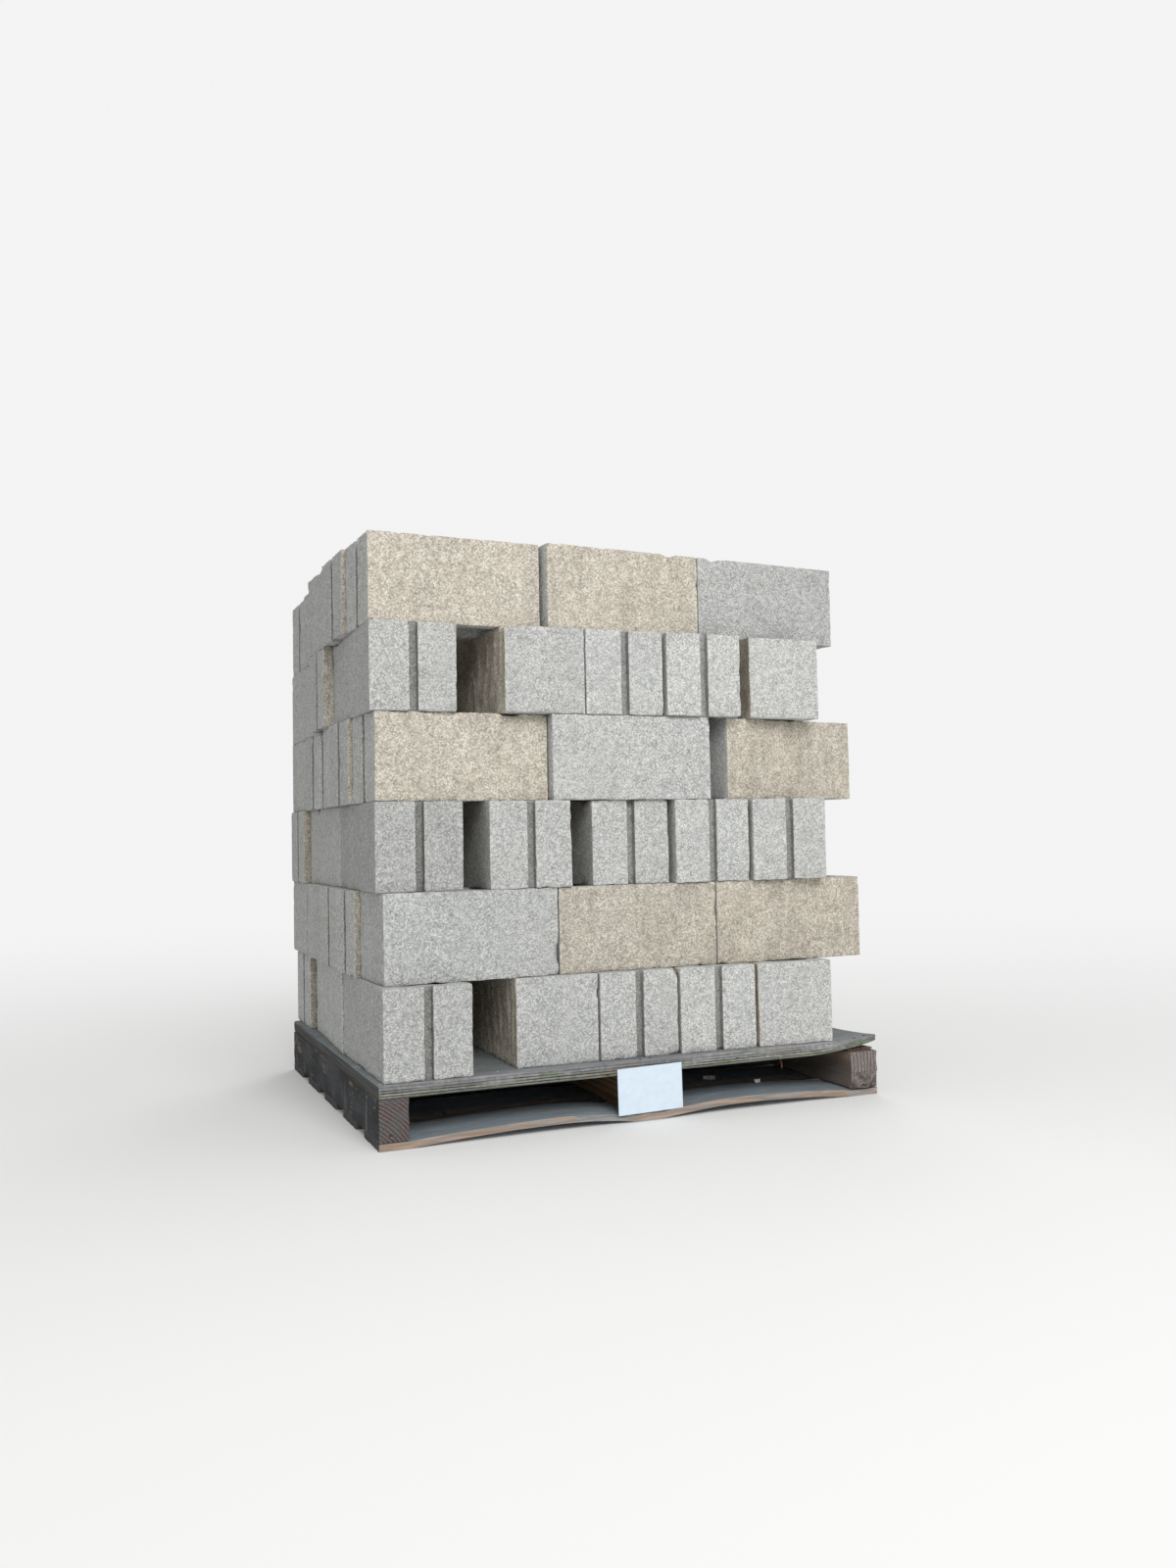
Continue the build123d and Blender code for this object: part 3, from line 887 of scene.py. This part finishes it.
# Small loose things
def lay_card(material):
    """The blank card that stands against the pallet's front."""
    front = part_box("deck")[0].y
    middle = Vector((CARD_MIDDLE[0], front - 0.0012, CARD_MIDDLE[1]))
    turn = Matrix.Rotation(math.radians(-1.2), 3, "Y") @ Matrix.Rotation(math.radians(0.5), 3, "X")
    half = np.array(CARD_SIZE) / 2
    points, shares, faces = box_grid(-half, half, (16, 2, 10))
    placed = []
    for point, share in zip(points, shares):
        bow = 0.0006 * math.sin(math.pi * share[0])
        placed.append(middle + turn @ Vector((point[0], point[1] - bow, point[2])))
    make_mesh("card", placed, faces, [material])


def lay_splinter(material, seed):
    """What is left of the deck's lowest ply on the right stringer, under the curled corner."""
    stringer_low, stringer_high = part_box("stringer_right")
    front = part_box("deck")[0].y
    low = (stringer_low.x + 0.002, front + 0.004, stringer_high.z + 0.0002)
    high = (stringer_high.x - 0.002, front + 0.15, stringer_high.z + 0.0055)
    points, shares, faces = worn_box(low, high, (26, 40, 2), 1, 0.0012, seed)
    for point, share in zip(points, shares):
        ragged = noise.noise(Vector((point[0] * 90, seed, 0)))
        if share[1] < 0.5:
            point[1] += (1 - 2 * share[1]) * (0.010 + 0.012 * ragged)
        point[2] -= (point[2] - low[2]) * 0.8 * share[1]
    make_mesh("ply_splinter", points, faces, [material])


def lay_scrap(name, place, size, turn, material, seed):
    """A crumpled scrap of paper that stands up towards the front, on its lowest points."""
    low = (-size[0] / 2, -size[1] / 2, 0.0)
    high = (size[0] / 2, size[1] / 2, 0.0004)
    points, _, faces = box_grid(low, high, (12, 6, 1))
    tilt = Matrix.Rotation(math.radians(SCRAP_TILT), 3, "X")
    rotation = Matrix.Rotation(math.radians(turn), 3, "Z") @ tilt
    crumpled = []
    for point in points:
        fold = noise.noise(Vector((point[0] * 150 + seed, point[1] * 190, 0)))
        rise = 0.0035 * (fold + abs(point[0]) / size[0])
        crumpled.append(rotation @ Vector((point[0], point[1], point[2] + rise)))
    lowest = min(point.z for point in crumpled)
    lift = Vector((0, 0, -lowest))
    make_mesh(name, [place + point + lift for point in crumpled], faces, [material])


def tube(points, radii, sides=10):
    """A closed round bar through some points, each with its own radius."""
    made, faces = [], []
    for point, radius in zip(points, radii):
        for side in range(sides):
            angle = math.tau * side / sides
            made.append(point + radius * Vector((math.cos(angle), math.sin(angle), 0)))
    for ring in range(len(points) - 1):
        for side in range(sides):
            after = (side + 1) % sides
            faces.append((ring * sides + side, ring * sides + after,
                          (ring + 1) * sides + after, (ring + 1) * sides + side))
    faces.append(tuple(range(sides))[::-1])
    faces.append(tuple((len(points) - 1) * sides + side for side in range(sides)))
    return made, faces


def lay_nails(material, deck, load):
    """The heads of the deck's nails where nothing covers them, and a nail that came through."""
    points, faces = [], []
    upwards = Vector((0, 0, 1))
    low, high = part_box("deck")
    for node in ("stringer_left", "stringer_middle", "stringer_right"):
        stringer_low, stringer_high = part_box(node)
        for share in (0.3, 0.72):
            x = stringer_low.x + share * (stringer_high.x - stringer_low.x)
            for y in np.linspace(low.y + 0.018, high.y - 0.018, 9):
                head = Vector((x, y + 0.012 * (share - 0.5), height_at(deck, x, y)))
                if load.ray_cast(head + 0.001 * upwards, upwards, 2 * HEIGHT)[0] is None:
                    rings = [head + rise * upwards for rise in HEAD_RISES]
                    add_part(points, faces, *tube(rings, HEAD_RADII))
    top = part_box("stringer_left")[1].z
    bent = [Vector((x, y, top + z)) for x, y, z in NAIL_POINTS]
    add_part(points, faces, *tube(bent, NAIL_RADII))
    make_mesh("nails", points, faces, [material])


def lay_crumbs(material, deck, load, rng):
    """Crumbs of concrete along the deck's open edges."""
    ball = bmesh.new()
    bmesh.ops.create_icosphere(ball, subdivisions=1, radius=1.0)
    shape = [v.co.copy() for v in ball.verts]
    sides = [[v.index for v in face.verts] for face in ball.faces]
    ball.free()
    low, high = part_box("deck")
    points, faces = [], []
    for _ in range(CRUMBS):
        if rng.random() < 0.6:
            x, y = rng.uniform(low.x + 0.01, high.x - 0.01), low.y + rng.uniform(0.006, 0.16)
        else:
            x, y = low.x + rng.uniform(0.006, 0.05), rng.uniform(low.y, high.y - 0.01)
        radius = rng.uniform(0.0008, 0.0026) * rng.uniform(0.7, 1.2)
        spot = Vector((x, y, height_at(deck, x, y) + 0.5 * radius))
        if load.ray_cast(spot, Vector((0, 0, 1)), 2 * HEIGHT)[0] is not None:
            continue
        turn = Matrix.Rotation(rng.uniform(0, math.tau), 3, "Z")
        crumb = []
        for corner in shape:
            uneven = 1.0 + 0.4 * noise.noise(corner * 1.7 + spot * 300)
            flattened = Vector((corner.x, 0.8 * corner.y, 0.6 * corner.z))
            crumb.append(spot + turn @ flattened * radius * uneven)
        add_part(points, faces, crumb, sides)
    plain = [0.0] * len(points)
    attributes = {"tone": [1.0] * len(points), "hue": plain, "hollow": plain}
    make_mesh("crumbs", points, faces, [material], attributes=attributes)


def studio():
    """A pale floor that fades into the background, two soft lamps and an even world."""
    floor_mesh = bpy.data.meshes.new("floor")
    corners = [(-1, -1), (1, -1), (1, 1), (-1, 1)]
    floor_mesh.from_pydata([(FLOOR_REACH * x, FLOOR_REACH * y, 0) for x, y in corners], [],
                           [(0, 1, 2, 3)])
    floor = bpy.data.objects.new("floor", floor_mesh)
    bpy.context.scene.collection.objects.link(floor)
    g = Graph("floor")
    distance = g.put("VectorMath", {0: g.place}, operation="LENGTH").outputs["Value"]
    share = g.math("DIVIDE", distance, g.math("ADD", distance, FADE_DISTANCE))
    far = g.between(share, *FADE)
    seen = g.put("LightPath").outputs["Is Camera Ray"]
    white = g.put("Emission", {"Color": (1, 1, 1, 1), "Strength": BACKGROUND})
    matte = g.put("BsdfDiffuse", {"Color": (*FLOOR_COLOUR, 1)})
    both = g.put("MixShader", {0: g.product(far, seen), 1: matte.outputs[0], 2: white.outputs[0]})
    g.put("OutputMaterial", {"Surface": both.outputs[0]})
    floor_mesh.materials.append(g.owner)

    g = Graph("world", bpy.data.worlds)
    seen = g.put("LightPath").outputs["Is Camera Ray"]
    lights = g.put("Background", {"Color": (1, 1, 1, 1), "Strength": WORLD_LIGHT})
    shows_as = g.put("Background", {"Color": (1, 1, 1, 1), "Strength": BACKGROUND})
    both = g.put("MixShader", {0: seen, 1: lights.outputs[0], 2: shows_as.outputs[0]})
    g.put("OutputWorld", {"Surface": both.outputs[0]})
    bpy.context.scene.world = g.owner

    for name, place, watts in LAMPS:
        lamp_data = bpy.data.lights.new(name, "AREA")
        lamp_data.shape = "DISK"
        lamp_data.size = LAMP_WIDTH
        lamp_data.energy = watts
        lamp = bpy.data.objects.new(name, lamp_data)
        bpy.context.scene.collection.objects.link(lamp)
        lamp.location = place
        aim = LAMP_AIM - Vector(place)
        lamp.rotation_mode = "QUATERNION"
        lamp.rotation_quaternion = aim.to_track_quat("-Z", "Y")


def camera():
    """The photograph's camera, turned by its yaw, pitch and roll."""
    data = bpy.data.cameras.new("camera")
    data.sensor_fit = "AUTO"
    data.sensor_width = SENSOR
    data.lens = LENS
    eye = bpy.data.objects.new("camera", data)
    bpy.context.scene.collection.objects.link(eye)
    turn = Matrix.Rotation(-CAMERA_YAW, 4, "Z")
    tilt = Matrix.Rotation(math.pi / 2 + CAMERA_PITCH, 4, "X")
    roll = Matrix.Rotation(CAMERA_ROLL, 4, "Z")
    eye.matrix_world = Matrix.Translation(CAMERA_PLACE) @ turn @ tilt @ roll
    bpy.context.scene.camera = eye


camera()
studio()

cast = concrete("block_cast", cool=(0.505, 0.52, 0.515), warm=(0.535, 0.53, 0.505),
                pale=(0.76, 0.76, 0.74), dark=(0.17, 0.17, 0.165), grain_size=0.0031, relief=1.0)
broken = concrete("block_split", cool=(0.56, 0.525, 0.455), warm=(0.595, 0.532, 0.435),
                  pale=(0.81, 0.79, 0.73), dark=(0.21, 0.18, 0.145), grain_size=0.0034, relief=1.6)
rng = random.Random(7)
moulds = {"split": Mould(split_step=0.005, wall_step=0.012, rise_step=0.005),
          "cast": Mould(split_step=0.012, wall_step=0.010, rise_step=0.010),
          "hidden": Mould(split_step=0.024, wall_step=0.024, rise_step=0.024)}
load = surface_tree(COURSES)
for node in COURSES:
    lay_course(node, moulds, load, [cast, broken], rng)

lay_deck(plywood(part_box("deck")[0].y))
left_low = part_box("stringer_left")[0]
middle_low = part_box("stringer_middle")[0]
right_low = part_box("stringer_right")[0]
left_wood = timber("stringer_left_wood", fresh=(0.26, 0.15, 0.09), weathered=(0.20, 0.17, 0.14),
                   pith=(left_low.x - 0.10, left_low.z - 0.11), spacing=0.0072, paint=True,
                   end_colours=((0.095, 0.052, 0.050), (0.165, 0.14, 0.135), (0.135, 0.13, 0.128)))
middle_wood = timber("stringer_middle_wood", fresh=(0.38, 0.22, 0.10), weathered=(0.28, 0.22, 0.16),
                     pith=(middle_low.x - 0.09, middle_low.z - 0.02), spacing=0.0075,
                     end_colours=((0.15, 0.10, 0.06), (0.28, 0.20, 0.13), (0.22, 0.19, 0.16)))
right_wood = timber("stringer_right_wood", fresh=(0.25, 0.18, 0.135), weathered=(0.20, 0.17, 0.15),
                    pith=(right_low.x - 0.34, right_low.z + 0.05), spacing=0.0095, torn=0.055,
                    end_colours=((0.145, 0.11, 0.095), (0.33, 0.29, 0.265), (0.24, 0.21, 0.195)))
lay_stringer("stringer_left", (14, 100, 18), wear=0.0009, material=left_wood, seed=1.0)
lay_stringer("stringer_middle", (8, 100, 11), wear=0.0007, material=middle_wood, seed=2.0)
lay_stringer("stringer_right", (20, 100, 24), wear=0.0018, material=right_wood, seed=3.0, torn=0.45)
above = (0.26, 0.30, 0.33)
board_end = (0.26, 0.19, 0.14)
front_board = board_wood("front_board_wood", (0.42, 0.315, 0.245), (0.33, 0.315, 0.30), above,
                         board_end)
# The boards behind the front one have much darker sides: painted shade of the space under the deck.
shade_painted_boards = board_wood("board_wood", (0.17, 0.135, 0.11), (0.13, 0.13, 0.125), above, board_end)
for number, node in enumerate(BOARDS):
    lay_board(node, shade_painted_boards if number else front_board, 4.0 + number)

deck_top = surface_tree(["deck"])
board_tops = {node: surface_tree([node]) for node in BOARDS[:2]}
lay_card(paper("card_paper", (0.69, 0.79, 0.89)))
splinter_wood = board_wood("splinter_wood", (0.24, 0.15, 0.12), (0.20, 0.16, 0.14),
                           (0.23, 0.19, 0.17), (0.20, 0.15, 0.12))
lay_splinter(splinter_wood, 9.0)
scrap_paper = paper("scrap_paper", (0.86, 0.86, 0.84))
for seed, (name, node, (x, y), size, turn) in enumerate(SCRAPS):
    place = Vector((x, y, height_at(board_tops[node], x, y)))
    lay_scrap(name, place, size, turn, scrap_paper, 5.0 * seed)
lay_nails(rust("nail_rust"), deck_top, load)
lay_crumbs(cast, deck_top, load, rng)

bpy.context.scene.view_settings.view_transform = "Standard"
